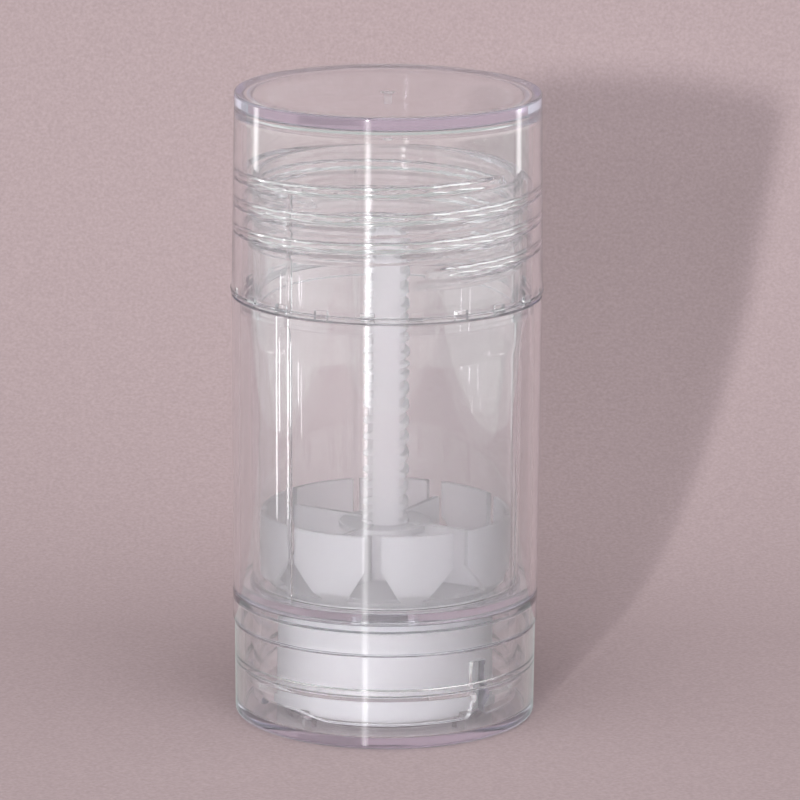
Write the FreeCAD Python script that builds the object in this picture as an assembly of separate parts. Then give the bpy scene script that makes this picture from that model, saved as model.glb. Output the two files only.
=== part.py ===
import FreeCAD, Part
import math
import os
from FreeCAD import Vector

# Twist-up stick container, empty: a clear screw cap over a double-walled clear barrel,
# a clear base knob, and a milky drive screw and elevator inside.
# Millimetres. Origin at the centre of the base, +Z up, the common axis on Z.

# --- Heights, from the surface it stands on ---
knob_height = 15.35        # base knob, underside to rim
seam_gap = 0.3             # open line between pieces that turn or lift apart
band_height = 4.95         # exposed lower band of the barrel
sleeve_length = 48.8       # outer shell
cap_height = 32.5
neck_height = 19.9         # barrel neck above the shoulder, hidden in the cap

# --- Radii outside ---
body_radius = 24.97        # widest round of the outer shell, at its top
cap_mouth_step = 0.02      # cap at its open end, smaller than the shell
cap_draft = 0.38           # the cap is drawn in by this much at its top
sleeve_draft = 0.25        # and the shell at its foot
band_step = 0.22
knob_rim_step = 0.55
knob_draft = 0.12

# --- Small edges ---
small_edge = 0.2           # broken edges and bead flanks
embed = 0.5                # how far joined features reach into each other's walls
cut_over = 1.0             # how far cutters pass the faces they open

# --- Cap ---
cap_wall = 1.65
cap_top_thickness = 2.3
cap_inner_fillet = 1.9
cap_edge_round = 0.45
cap_bead = 0.2             # small bead round the cap's open end
cap_bead_height = 0.8
notch_count = 20           # notches that hold the cap while its threaded core unscrews
notch_width = 2.2
notch_height = 1.35
notch_depth = 0.75
notch_first_angle = -79.2
gate_radius = 0.65         # gate pip under the middle of the cap's top
gate_length = 1.9

# --- Barrel ---
double_wall = 4.47         # from the shell's outside in to the chamber
sleeve_wall = 1.17         # the shell's wall at its foot
tube_wall = 1.4
tube_draft = 0.4           # the tube is this much thinner outside at its foot
neck_wall = 1.15
mouth_chamfer = 0.35
shoulder_thickness = 2.0
flare_height = 5.0         # cone under the shoulder
flare_width = 0.8
floor_thickness = 1.3
floor_drop = 0.3           # floor's underside below the shell's seat
band_wall = 1.3
web_thickness = 1.4
spigot_height = 1.8
press_gap = 0.05           # between pressed pieces of one body
skirt_wall = 1.2
skirt_bottom = 3.2
skirt_step = 0.2           # the skirt is this much thicker above the snap fingers
skirt_step_height = 11.8
bead_side_gap = 0.4        # snap bead's crest to the knob's bore
bead_depth = 1.05          # the bead stands out from the skirt by this much
bead_foot = 4.7            # heights of the bead's foot, crest and top
bead_crest_low = 6.6
bead_crest_high = 7.5
bead_top = 8.0
slot_count = 2             # slots that let the snap skirt flex
slot_width = 2.6
slot_top = 12.6
slot_mouth_round = 1.3
slot_angle = -47
relief_count = 2           # shallow reliefs in the skirt's lower edge
relief_depth = 1.15
relief_flat = 9.0
relief_ramp = 5.2
relief_angle = -142
key_count = 3              # ribs inside the chamber that stop the elevator turning
key_width = 0.7
key_depth = 0.55
key_angle = 104.7
key_top_gap = 3.0

# --- Base knob ---
knob_wall = 1.45
knob_floor = 1.6
knob_edge_round = 0.6
catch_depth = 0.75         # ring inside the knob that sits over the skirt's bead
catch_gap = 0.35
catch_height = 1.3
collar_wall = 1.2          # ring on the knob's floor that carries the drive drum
collar_height = 4.2
lug_count = 4              # lugs on the collar that turn the drum
lug_width = 2.0
lug_height = 2.6
lug_angle = 45
lug_step = 0.1             # lugs end this far inside the drum's outer face

# --- Drive screw ---
stem_radius = 2.95
ridge_height = 0.73        # of the thread, over the stem
thread_lead = 5.4
thread_starts = 2
ridge_foot = 1.5           # width of a thread ridge, just inside the stem
ridge_crest = 0.7
ridge_root = 0.3           # how far inside
ridge_turn = 120           # degrees of each ridge, before the flats cut it
flat_half = 2.1            # two flats leave the thread on opposite sides only
stem_drop = 8.0            # stem's tip below the neck's mouth
stem_tip_chamfer = 0.6
first_ridge_rise = 2.4     # above the elevator's underside
last_ridge_gap = 1.9
journal_step = 0.07        # journal over the thread's crests
journal_gap = 0.08
journal_rise = 0.1         # the journal ends this far above the floor
drum_inset = 2.7           # drum's outside to the skirt's bore
drum_wall = 1.2
drum_bottom = 2.7
drum_plate = 1.3
drum_gap = 0.45            # under the barrel's floor
drum_edge = 0.4
lug_gap = 0.15

# --- Elevator ---
elevator_gap = 0.2         # round the elevator in the chamber
elevator_lift = 0.3        # above the floor when fully wound down
elevator_height = 12.3
petal_wall = 0.9
base_inset = 2.1           # the base is this much smaller than the petals
base_thickness = 1.2
taper_height = 2.3         # petals curve in to the base over this height
taper_rise = 0.4           # and a little higher inside
taper_wall = 0.8
petal_sets = 3             # each with a key gap, a wide gap and a split gap
wide_gap_width = 2.7
flare_top_drop = 5.8       # gaps run straight this far down, then flare
flare_bottom = 1.2
wide_gap_flare = 4.7
key_gap_width = 1.3
key_gap_flare = 4.6
split_gap_width = 2.6
split_gap_flare = 3.0
hub_web_count = 4          # upright webs round the hub
hub_web_angle = 60
hub_web_wall = 0.9
hub_web_inset = 0.9        # web's end to the rim of the base
hub_web_drop = 1.9
hub_radius = 5.2
hub_flange_radius = 7.5
hub_flange_thickness = 0.9
hub_drop = 2.2             # hub top below the petals' rim
bore_gap = 0.15
nut_gap = 0.17             # clearance of the nut's grooves round the ridges
nut_length = 5.9           # the bore is plain above this

# --- Worked out from the above: heights ---
band_bottom = knob_height + seam_gap
band_top = band_bottom + band_height
sleeve_top = band_top + sleeve_length
cap_bottom = sleeve_top + seam_gap
total_height = cap_bottom + cap_height
neck_top = sleeve_top + neck_height
floor_bottom = band_top - floor_drop
floor_top = floor_bottom + floor_thickness
drum_top = floor_bottom - drum_gap
elevator_bottom = floor_top + elevator_lift
elevator_top = elevator_bottom + elevator_height
hub_top = elevator_top - hub_drop
first_ridge = elevator_bottom + first_ridge_rise
stem_top = neck_top - stem_drop

# --- and radii ---
cap_mouth_radius = body_radius - cap_mouth_step
cap_top_radius = cap_mouth_radius - cap_draft
cap_bore = cap_mouth_radius - cap_wall
sleeve_foot_radius = body_radius - sleeve_draft
spigot_radius = sleeve_foot_radius - sleeve_wall
sleeve_bore = spigot_radius + press_gap
band_radius = body_radius - band_step
chamber_radius = body_radius - double_wall
tube_radius = chamber_radius + tube_wall
neck_radius = chamber_radius + neck_wall
knob_rim_radius = body_radius - knob_rim_step
knob_foot_radius = knob_rim_radius - knob_draft
knob_bore = knob_foot_radius - knob_wall
bead_radius = knob_bore - bead_side_gap
skirt_radius = bead_radius - bead_depth
skirt_bore = skirt_radius - skirt_wall
drum_radius = skirt_bore - drum_inset
drum_bore = drum_radius - drum_wall
collar_radius = drum_bore - press_gap
elevator_radius = chamber_radius - elevator_gap
base_radius = elevator_radius - base_inset
hub_web_reach = base_radius - hub_web_inset
thread_radius = stem_radius + ridge_height
journal_radius = thread_radius + journal_step
hub_bore = stem_radius + bore_gap
ridge_pitch = thread_lead / thread_starts
gap_pitch = 360 / (3 * petal_sets)


def lathe(points):
    """Solid of revolution about Z from (radius, height) corners."""
    wire = Part.makePolygon([Vector(r, 0, z) for r, z in points + points[:1]])
    return Part.Face(wire).revolve(Vector(0, 0, 0), Vector(0, 0, 1), 360)


def turned(shape, angle):
    copy = shape.copy()
    copy.rotate(Vector(0, 0, 0), Vector(0, 0, 1), angle)
    return copy


def around(shape, count, first=0.0):
    return [turned(shape, first + i * 360.0 / count) for i in range(count)]


def radial_block(outline, near, far):
    """Block with the (sideways, height) outline, reaching outwards along +X."""
    wire = Part.makePolygon([Vector(near, t, z) for t, z in outline + outline[:1]])
    return Part.Face(wire).extrude(Vector(far - near, 0, 0))


def bar(width, low, high, near, far):
    """Plain radial block of a width, between two heights and two radii."""
    half = width / 2
    return radial_block([(-half, low), (half, low), (half, high), (-half, high)], near, far)


def rounded(radius, height, size, up, steps=2):
    """Lathe corners round an edge at (radius, height): from the wall in to the flat face."""
    corners = []
    for i in range(steps + 1):
        bearing = math.radians(90.0 * i / steps)
        corners.append((radius - size + size * math.cos(bearing),
                        height + up * (size * math.sin(bearing) - size)))
    return corners


def flared_gap(width, flare, top, bend, bottom):
    """Gap between two petals: straight down to the bend, then opening out."""
    half = width / 2
    return [(-half, top), (half, top), (half, bend), (half + flare, bottom),
            (-half - flare, bottom), (-half, bend)]


def thread_ridge():
    """One ridge of the right-hand drive thread, its middle at height 0 on the +X side."""
    turns = ridge_turn / 360
    helix = Part.makeHelix(thread_lead, turns * thread_lead, stem_radius)
    inner = stem_radius - ridge_root
    corners = [(inner, -ridge_foot / 2), (thread_radius, -ridge_crest / 2),
               (thread_radius, ridge_crest / 2), (inner, ridge_foot / 2)]
    section = Part.makePolygon([Vector(r, 0, z) for r, z in corners + corners[:1]])
    pipe = Part.BRepOffsetAPI.MakePipeShell(Part.Wire(helix.Edges))
    pipe.setFrenetMode(True)
    pipe.add(section)
    pipe.build()
    pipe.makeSolid()
    ridge = turned(pipe.shape(), -ridge_turn / 2)
    ridge.translate(Vector(0, 0, -turns * thread_lead / 2))
    return ridge


def nut_tap(start_height, length):
    """The nut's bore and grooves: one cross-section twisted up the thread's lead."""
    groove = thread_radius + nut_gap
    foot_half = (ridge_foot / 2 + nut_gap) / thread_lead * 360
    crest_half = (ridge_crest / 2 + nut_gap) / thread_lead * 360

    def at(radius, angle):
        bearing = math.radians(angle)
        return Vector(radius * math.cos(bearing), radius * math.sin(bearing), start_height)
    edges = []
    for start in range(thread_starts):
        middle = start * 360.0 / thread_starts
        following = middle + 360.0 / thread_starts
        groove_end = at(groove, middle + crest_half)
        bore_start = at(hub_bore, middle + foot_half)
        bore_end = at(hub_bore, following - foot_half)
        edges.append(Part.Arc(at(groove, middle - crest_half), at(groove, middle), groove_end))
        edges.append(Part.LineSegment(groove_end, bore_start))
        edges.append(Part.Arc(bore_start, at(hub_bore, (middle + following) / 2), bore_end))
        edges.append(Part.LineSegment(bore_end, at(groove, following - crest_half)))
    spine = Part.makeLine(Vector(0, 0, start_height), Vector(0, 0, start_height + length))
    guide = Part.makeHelix(thread_lead, length, hub_bore)
    guide.translate(Vector(0, 0, start_height))
    pipe = Part.BRepOffsetAPI.MakePipeShell(Part.Wire([spine]))
    pipe.setAuxiliarySpine(Part.Wire(guide.Edges), True, 0)
    pipe.add(Part.Wire([edge.toShape() for edge in edges]))
    pipe.build()
    pipe.makeSolid()
    return pipe.shape()


def make_cap():
    bead_out = cap_mouth_radius + cap_bead
    bead_top_height = cap_bottom + cap_bead_height
    ceiling = total_height - cap_top_thickness
    cap = lathe([
        (cap_bore, cap_bottom), (bead_out - small_edge, cap_bottom),
        (bead_out, cap_bottom + small_edge), (bead_out, bead_top_height - small_edge),
        (cap_mouth_radius, bead_top_height)]
        + rounded(cap_top_radius, total_height, cap_edge_round, 1)
        + [(0, total_height), (0, ceiling)]
        + rounded(cap_bore, ceiling, cap_inner_fillet, 1, 3)[::-1])
    notch = bar(notch_width, cap_bottom - cut_over, cap_bottom + notch_height,
                cap_bore - cut_over, cap_bore + notch_depth)
    cap = cap.cut(Part.makeCompound(around(notch, notch_count, notch_first_angle)))
    pip = Part.makeCylinder(gate_radius, gate_length + embed, Vector(0, 0, ceiling - gate_length))
    return cap.fuse(pip).removeSplitter()


def make_sleeve():
    return lathe([
        (sleeve_bore, band_top), (sleeve_foot_radius - small_edge, band_top),
        (sleeve_foot_radius, band_top + small_edge), (body_radius, sleeve_top - small_edge),
        (body_radius - small_edge, sleeve_top), (sleeve_bore, sleeve_top)])


def skirt_slot():
    """Slot up the snap skirt, with a rounded mouth."""
    half = slot_width / 2
    r = slot_mouth_round
    low = skirt_bottom
    lean = r * (1 - math.sqrt(0.5))
    near = skirt_bore - cut_over
    far = bead_radius + cut_over

    def at(t, z):
        return Vector(near, t, z)
    edges = [
        Part.LineSegment(at(-half, low + r), at(-half, slot_top)),
        Part.LineSegment(at(-half, slot_top), at(half, slot_top)),
        Part.LineSegment(at(half, slot_top), at(half, low + r)),
        Part.Arc(at(half, low + r), at(half + lean, low + lean), at(half + r, low)),
        Part.LineSegment(at(half + r, low), at(half + r, low - cut_over)),
        Part.LineSegment(at(half + r, low - cut_over), at(-half - r, low - cut_over)),
        Part.LineSegment(at(-half - r, low - cut_over), at(-half - r, low)),
        Part.Arc(at(-half - r, low), at(-half - lean, low + lean), at(-half, low + r))]
    face = Part.Face(Part.Wire([edge.toShape() for edge in edges]))
    return face.extrude(Vector(far - near, 0, 0))


def skirt_relief():
    """Shallow relief in the skirt's lower edge, with a ramp at one end."""
    half = relief_flat / 2
    under = skirt_bottom - cut_over
    outline = [(-half, under), (-half, skirt_bottom + relief_depth),
               (half, skirt_bottom + relief_depth), (half + relief_ramp, skirt_bottom),
               (half + relief_ramp, under)]
    return radial_block(outline, skirt_bore - 2 * cut_over, bead_radius + cut_over)


def make_barrel():
    shoulder_bottom = sleeve_top - shoulder_thickness
    web_bottom = band_top - web_thickness
    journal_bore = journal_radius + journal_gap
    barrel = lathe([
        # journal hole, floor, chamber, mouth
        (journal_bore, floor_bottom), (journal_bore, floor_top), (chamber_radius, floor_top),
        (chamber_radius, neck_top - mouth_chamfer), (chamber_radius + mouth_chamfer, neck_top),
        (neck_radius - mouth_chamfer, neck_top),
        # neck, shoulder, flare, tube
        (neck_radius, neck_top - mouth_chamfer), (neck_radius, sleeve_top),
        (spigot_radius, sleeve_top), (spigot_radius, shoulder_bottom),
        (tube_radius + flare_width, shoulder_bottom),
        (tube_radius, shoulder_bottom - flare_height),
        (tube_radius - tube_draft, band_top + spigot_height),
        # spigot that the shell is pressed on, lower band
        (spigot_radius, band_top + spigot_height), (spigot_radius, band_top),
        (band_radius, band_top), (band_radius, band_bottom),
        (band_radius - band_wall, band_bottom), (band_radius - band_wall, web_bottom),
        # snap skirt that reaches down inside the knob
        (skirt_radius + skirt_step, web_bottom), (skirt_radius + skirt_step, skirt_step_height),
        (skirt_radius, skirt_step_height), (skirt_radius, bead_top),
        (bead_radius, bead_crest_high), (bead_radius, bead_crest_low),
        (skirt_radius, bead_foot), (skirt_radius, skirt_bottom), (skirt_bore, skirt_bottom),
        (skirt_bore, floor_bottom)])
    cuts = around(skirt_slot(), slot_count, slot_angle)
    cuts += around(skirt_relief(), relief_count, relief_angle)
    barrel = barrel.cut(Part.makeCompound(cuts))
    key = bar(key_width, floor_top - embed, neck_top - key_top_gap,
              chamber_radius - key_depth, chamber_radius + embed)
    return barrel.fuse(around(key, key_count, key_angle)).removeSplitter()


def make_knob():
    catch_low = bead_top + catch_gap
    catch_top = catch_low + catch_height
    catch_radius = knob_bore - catch_depth
    catch_slope = catch_depth / 2
    knob = lathe([(0, 0)] + rounded(knob_foot_radius, 0, knob_edge_round, -1)[::-1] + [
        (knob_rim_radius, knob_height), (knob_bore, knob_height),
        (knob_bore, catch_top), (catch_radius, catch_top - catch_slope),
        (catch_radius, catch_low + catch_slope / 2), (knob_bore, catch_low),
        (knob_bore, knob_floor), (0, knob_floor)])
    collar_bore = collar_radius - collar_wall
    collar_foot = knob_floor - embed
    collar_top = knob_floor + collar_height
    collar = lathe([
        (collar_bore, collar_foot), (collar_radius, collar_foot),
        (collar_radius, collar_top - drum_edge), (collar_radius - drum_edge, collar_top),
        (collar_bore, collar_top)])
    lug = bar(lug_width, collar_foot, knob_floor + lug_height,
              collar_radius - embed, drum_radius - lug_step)
    return knob.fuse([collar] + around(lug, lug_count, lug_angle)).removeSplitter()


def make_screw():
    plate_bottom = drum_top - drum_plate
    stem = lathe([
        (0, plate_bottom), (stem_radius, plate_bottom),
        (stem_radius, stem_top - stem_tip_chamfer),
        (stem_radius - stem_tip_chamfer, stem_top), (0, stem_top)])
    ridge = thread_ridge()
    ridges = []
    height = first_ridge
    while height < stem_top - last_ridge_gap:
        for tooth in around(ridge, 2):
            tooth.translate(Vector(0, 0, height))
            ridges.append(tooth)
        height += ridge_pitch
    slab = Part.makeBox(2 * journal_radius, 2 * flat_half, stem_top - floor_top,
                        Vector(-journal_radius, -flat_half, floor_top))
    threaded = stem.fuse(ridges).common(slab)
    journal_top = floor_top + journal_rise
    journal = lathe([
        (0, drum_top), (journal_radius, drum_top), (journal_radius, journal_top),
        (0, journal_top)])
    drum = lathe([
        (0, plate_bottom), (drum_bore, plate_bottom), (drum_bore, drum_bottom),
        (drum_radius, drum_bottom), (drum_radius, drum_top - drum_edge),
        (drum_radius - drum_edge, drum_top), (0, drum_top)])
    notch = bar(lug_width + 2 * lug_gap, drum_bottom - cut_over, knob_floor + lug_height + lug_gap,
                drum_bore - cut_over, drum_radius + cut_over)
    drum = drum.cut(Part.makeCompound(around(notch, lug_count, lug_angle)))
    return threaded.fuse([journal, drum]).removeSplitter()


def make_elevator():
    base_top = elevator_bottom + base_thickness
    taper_top = elevator_bottom + taper_height
    inner = elevator_radius - petal_wall
    cup = lathe([
        (0, elevator_bottom), (base_radius, elevator_bottom), (elevator_radius, taper_top),
        (elevator_radius, elevator_top), (inner, elevator_top), (inner, taper_top + taper_rise),
        (base_radius - taper_wall, base_top), (0, base_top)])
    rim = elevator_top + cut_over
    bend = elevator_top - flare_top_drop
    low = elevator_bottom + flare_bottom
    outside = elevator_radius + cut_over
    wide_gap = radial_block(flared_gap(wide_gap_width, wide_gap_flare, rim, bend, low),
                            hub_web_reach, outside)
    key_gap = radial_block(flared_gap(key_gap_width, key_gap_flare, rim, bend, low),
                           hub_web_reach, outside)
    split_gap = radial_block(flared_gap(split_gap_width, split_gap_flare, rim, bend, low),
                             hub_web_reach, outside)
    cuts = around(key_gap, petal_sets, key_angle)
    cuts += around(wide_gap, petal_sets, key_angle - gap_pitch)
    cuts += around(split_gap, petal_sets, key_angle - 2 * gap_pitch)
    cup = cup.cut(Part.makeCompound(cuts))
    flange_bottom = hub_top - hub_flange_thickness
    hub = lathe([
        (0, elevator_bottom), (hub_radius, elevator_bottom), (hub_radius, flange_bottom),
        (hub_flange_radius, flange_bottom), (hub_flange_radius, hub_top), (0, hub_top)])
    web = bar(hub_web_wall, base_top - embed, elevator_top - hub_web_drop,
              hub_radius - embed, hub_web_reach)
    body = cup.fuse([hub] + around(web, hub_web_count, hub_web_angle))
    # the tap starts whole leads below the first ridge, so the grooves meet the ridges
    leads = math.ceil((first_ridge - elevator_bottom) / thread_lead)
    tap_start = first_ridge - leads * thread_lead
    nut_top = elevator_bottom + nut_length
    body = body.cut(nut_tap(tap_start, nut_top - tap_start))
    plain = Part.makeCylinder(thread_radius + nut_gap, hub_top - nut_top + cut_over,
                              Vector(0, 0, nut_top))
    return body.cut(plain).removeSplitter()


pieces = {
    "cap": make_cap,
    "outer_sleeve": make_sleeve,
    "barrel": make_barrel,
    "base_knob": make_knob,
    "drive_screw": make_screw,
    "elevator": make_elevator,
}

os.makedirs("parts", exist_ok=True)
for name, make in pieces.items():
    shape = make()
    if shape.ShapeType == "Compound" and len(shape.Solids) == 1:
        shape = shape.Solids[0]
    box = shape.BoundBox
    print("%-13s solids %d  volume %8.1f mm3  valid %s  z %.2f to %.2f"
          % (name, len(shape.Solids), shape.Volume, shape.isValid(), box.ZMin, box.ZMax))
    shape.exportStep("parts/%s.step" % name)
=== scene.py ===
import math
import bmesh
import bpy
import numpy as np
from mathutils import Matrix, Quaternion, Vector


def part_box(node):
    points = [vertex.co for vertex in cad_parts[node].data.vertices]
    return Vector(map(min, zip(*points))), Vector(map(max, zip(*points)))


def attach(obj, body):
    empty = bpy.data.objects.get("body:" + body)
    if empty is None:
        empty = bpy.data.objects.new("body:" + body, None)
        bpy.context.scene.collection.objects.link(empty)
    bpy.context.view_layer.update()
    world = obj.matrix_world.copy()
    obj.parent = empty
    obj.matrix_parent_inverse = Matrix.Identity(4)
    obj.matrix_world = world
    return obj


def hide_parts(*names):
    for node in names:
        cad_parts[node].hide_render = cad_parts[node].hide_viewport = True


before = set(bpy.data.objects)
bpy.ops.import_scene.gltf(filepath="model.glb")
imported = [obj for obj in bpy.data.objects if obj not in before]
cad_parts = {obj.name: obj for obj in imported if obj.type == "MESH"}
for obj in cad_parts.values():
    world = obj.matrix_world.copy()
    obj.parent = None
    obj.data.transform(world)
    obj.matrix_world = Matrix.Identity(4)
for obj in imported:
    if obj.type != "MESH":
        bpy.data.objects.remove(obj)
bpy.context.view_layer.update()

# Twist-up stick container: clear cap, shell, barrel and base knob, milky screw and elevator.
# Sizes in the dictionaries are millimetres; meshes are written in metres.
mm = 0.001
rowReach = 0.02                  # mm, a row nearer than this to a wall belongs to it
roundColumns = 256               # columns of faces round the clear pieces
overcut = 1                      # mm that a cutting shape runs past the wall

# roundings that several pieces share, mm
crisp, fine, small, eased, full = 0.1, 0.15, 0.2, 0.3, 0.4

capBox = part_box("cap")
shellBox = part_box("outer_sleeve")
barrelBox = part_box("barrel")
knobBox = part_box("base_knob")
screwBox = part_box("drive_screw")
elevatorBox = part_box("elevator")


def heights(box):
    return box[0][2] / mm, box[1][2] / mm


capFoot, capTop = heights(capBox)
shellFoot, shellTop = heights(shellBox)
skirtFoot, neckTop = heights(barrelBox)
knobFoot, knobTop = heights(knobBox)
drumFoot, stemTop = heights(screwBox)
elevatorFoot, elevatorTop = heights(elevatorBox)


# mesh helpers
def softened(corners, steps=4):
    # corners are (radius, height, rounding); each rounding becomes a short arc
    points = []
    count = len(corners)
    for i, (r, z, ease) in enumerate(corners):
        here = np.array((r, z), float)
        if not ease:
            points.append((r, z))
            continue
        toBefore = np.array(corners[i - 1][:2], float) - here
        toAfter = np.array(corners[(i + 1) % count][:2], float) - here
        lengths = np.linalg.norm(toBefore), np.linalg.norm(toAfter)
        toBefore, toAfter = toBefore / lengths[0], toAfter / lengths[1]
        half = math.acos(np.clip(toBefore @ toAfter, -1, 1)) / 2
        run = min(ease / math.tan(half), 0.48 * lengths[0], 0.48 * lengths[1])
        middle = toBefore + toAfter
        centre = here + middle / np.linalg.norm(middle) * run / math.cos(half)
        start, end = here + toBefore * run - centre, here + toAfter * run - centre
        first = math.atan2(start[1], start[0])
        sweep = (math.atan2(end[1], end[0]) - first + math.pi) % (2 * math.pi) - math.pi
        radius = np.linalg.norm(start)
        for k in range(steps + 1):
            bearing = first + sweep * k / steps
            points.append((centre[0] + radius * math.cos(bearing),
                           centre[1] + radius * math.sin(bearing)))
    return held(points)


def held(points, reach=0.07, leastRatio=8):
    # a ring close to each end of a long straight stretch keeps its shading flat
    result = []
    for i, (r, z) in enumerate(points):
        r2, z2 = points[(i + 1) % len(points)]
        length = math.hypot(r2 - r, z2 - z)
        result.append((r, z))
        if length > leastRatio * reach:
            for share in (reach / length, 1 - reach / length):
                result.append((r + (r2 - r) * share, z + (z2 - z) * share))
    return result


def divided(points, where, step):
    # cuts the stretches that pass the test into short rows
    result = []
    for i, (r, z) in enumerate(points):
        r2, z2 = points[(i + 1) % len(points)]
        result.append((r, z))
        if where((r + r2) / 2, (z + z2) / 2):
            pieces = max(1, round(math.hypot(r2 - r, z2 - z) / step))
            for k in range(1, pieces):
                result.append((r + (r2 - r) * k / pieces, z + (z2 - z) * k / pieces))
    return result


def onWall(radii, wall):
    return np.abs(radii - wall) < rowReach


def evenAngles(count, extra=()):
    angles = [360.0 * i / count for i in range(count)] + [a % 360 for a in extra]
    return np.radians(sorted(set(round(a, 5) for a in angles)))


def spreadRound(first, count):
    return [first + 360.0 * i / count for i in range(count)]


def degreesFrom(angles, middle):
    return np.abs((np.degrees(angles) - middle + 180) % 360 - 180)


def meshObject(name, vertices, faces, sharpAngle=32):
    mesh = bpy.data.meshes.new(name)
    mesh.from_pydata(vertices, [], faces)
    shell = bmesh.new()
    shell.from_mesh(mesh)
    bmesh.ops.remove_doubles(shell, verts=shell.verts, dist=1e-7)
    bmesh.ops.recalc_face_normals(shell, faces=shell.faces)
    shell.to_mesh(mesh)
    shell.free()
    piece = bpy.data.objects.new(name, mesh)
    bpy.context.scene.collection.objects.link(piece)
    smoothShaded(piece, sharpAngle)
    return piece


def smoothShaded(piece, sharpAngle):
    piece.data.shade_smooth()
    piece.data.set_sharp_from_angle(angle=math.radians(sharpAngle))


def revolved(name, outline, angles, relief=None, sharpAngle=32):
    # closed outline of (radius, height) turned about Z; relief moves the rows in or out
    radii = np.array([p[0] for p in outline])[:, None] * np.ones(len(angles))
    levels = np.array([p[1] for p in outline])[:, None] * np.ones(len(angles))
    if relief:
        radii, levels = relief(radii, levels, angles[None, :] * np.ones_like(radii))
    vertices, rings = [], []
    for r, z in zip(radii, levels):
        pole = r.max() < 1e-6        # a ring on the axis is one point
        rings.append((len(vertices), pole))
        if pole:
            vertices.append((0, 0, z[0] * mm))
        else:
            vertices += list(zip(r * np.cos(angles) * mm, r * np.sin(angles) * mm, z * mm))
    faces = []
    columns = len(angles)
    for i, (start, pole) in enumerate(rings):
        following, nextPole = rings[(i + 1) % len(rings)]
        for j in range(columns):
            k = (j + 1) % columns
            if not pole and not nextPole:
                faces.append((start + j, start + k, following + k, following + j))
            elif not pole:
                faces.append((start + j, start + k, following))
            elif not nextPole:
                faces.append((start, following + k, following + j))
    return meshObject(name, vertices, faces, sharpAngle)


def prism(name, outline, near, far):
    # upright (sideways, height) outline drawn out along +X from near to far
    count = len(outline)
    vertices = [(near * mm, t * mm, z * mm) for t, z in outline]
    vertices += [(far * mm, t * mm, z * mm) for t, z in outline]
    faces = [tuple(range(count)), tuple(range(2 * count - 1, count - 1, -1))]
    faces += [(i, i + count, (i + 1) % count + count, (i + 1) % count) for i in range(count)]
    return meshObject(name, vertices, faces)


def bar(width, low, high):
    return [(-width / 2, low), (width / 2, low), (width / 2, high), (-width / 2, high)]


def threadRise(angles, levels, thread):
    # 0 on the plain wall, 1 on the crest of a right-hand thread that fades out at both ends
    turn = ((angles - math.radians(thread["firstAngle"])) / (2 * math.pi)) % 1
    steps = (levels - thread["firstHeight"]) / thread["pitch"] - turn
    nearest = np.round(steps)
    along = nearest + turn
    offset = np.abs(steps - nearest) * thread["pitch"]
    flank = (thread["foot"] - thread["crest"]) / 2
    rise = np.clip((thread["foot"] / 2 - offset) / flank, 0, 1)
    rise = rise * rise * (3 - 2 * rise)
    ends = np.clip(np.minimum(along, thread["turns"] - along) / thread["fade"], 0, 1)
    return rise * ends * ends * (3 - 2 * ends)


# geometry nodes
def aroundTree(name, operation):
    # repeats one shape about Z, then cuts it from the piece or joins it on
    tree = bpy.data.node_groups.new(name, "GeometryNodeTree")
    tree.is_modifier = True
    for title, kind in (("Geometry", "Geometry"), ("Shape", "Object"), ("Count", "Int"),
                        ("First Angle", "Float"), ("Finish", "Material")):
        tree.interface.new_socket(title, in_out="INPUT", socket_type="NodeSocket" + kind)
    tree.interface.new_socket("Geometry", in_out="OUTPUT", socket_type="NodeSocketGeometry")
    given = addNode(tree, "NodeGroupInput")
    line = addNode(tree, "GeometryNodeMeshLine", mode="OFFSET", links={"Count": (given, "Count")},
                   values={"Offset": (0, 0, 0)})
    index = addNode(tree, "GeometryNodeInputIndex")
    step = addNode(tree, "ShaderNodeMath", operation="DIVIDE", links={1: (given, "Count")},
                   values={0: 2 * math.pi})
    turn = addNode(tree, "ShaderNodeMath", operation="MULTIPLY_ADD",
                   links={0: (index, 0), 1: (step, 0), 2: (given, "First Angle")})
    spin = addNode(tree, "ShaderNodeCombineXYZ", links={"Z": (turn, 0)})
    shape = addNode(tree, "GeometryNodeObjectInfo", links={"Object": (given, "Shape")})
    copies = addNode(tree, "GeometryNodeInstanceOnPoints",
                     links={"Points": (line, "Mesh"), "Instance": (shape, "Geometry"),
                            "Rotation": (spin, 0)})
    real = addNode(tree, "GeometryNodeRealizeInstances", links={0: (copies, 0)})
    joined = addNode(tree, "GeometryNodeMeshBoolean", operation=operation, solver="EXACT")
    pieceSocket = "Mesh 1" if operation == "DIFFERENCE" else "Mesh 2"
    tree.links.new(given.outputs["Geometry"], joined.inputs[pieceSocket])
    tree.links.new(real.outputs[0], joined.inputs["Mesh 2"])
    whole = addNode(tree, "GeometryNodeRealizeInstances", links={0: (joined, 0)})
    finish = addNode(tree, "GeometryNodeSetMaterial",
                     links={0: (whole, 0), "Material": (given, "Finish")})
    addNode(tree, "NodeGroupOutput", links={0: (finish, 0)})
    return tree


def addNode(tree, kind, links=None, values=None, **settings):
    # links names each input and the (node, output) that feeds it; values are set on inputs
    node = tree.nodes.new(kind)
    for key, value in settings.items():
        setattr(node, key, value)
    for key, value in (values or {}).items():
        node.inputs[key].default_value = value
    for key, (source, output) in (links or {}).items():
        tree.links.new(source.outputs[output], node.inputs[key])
    return node


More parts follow.
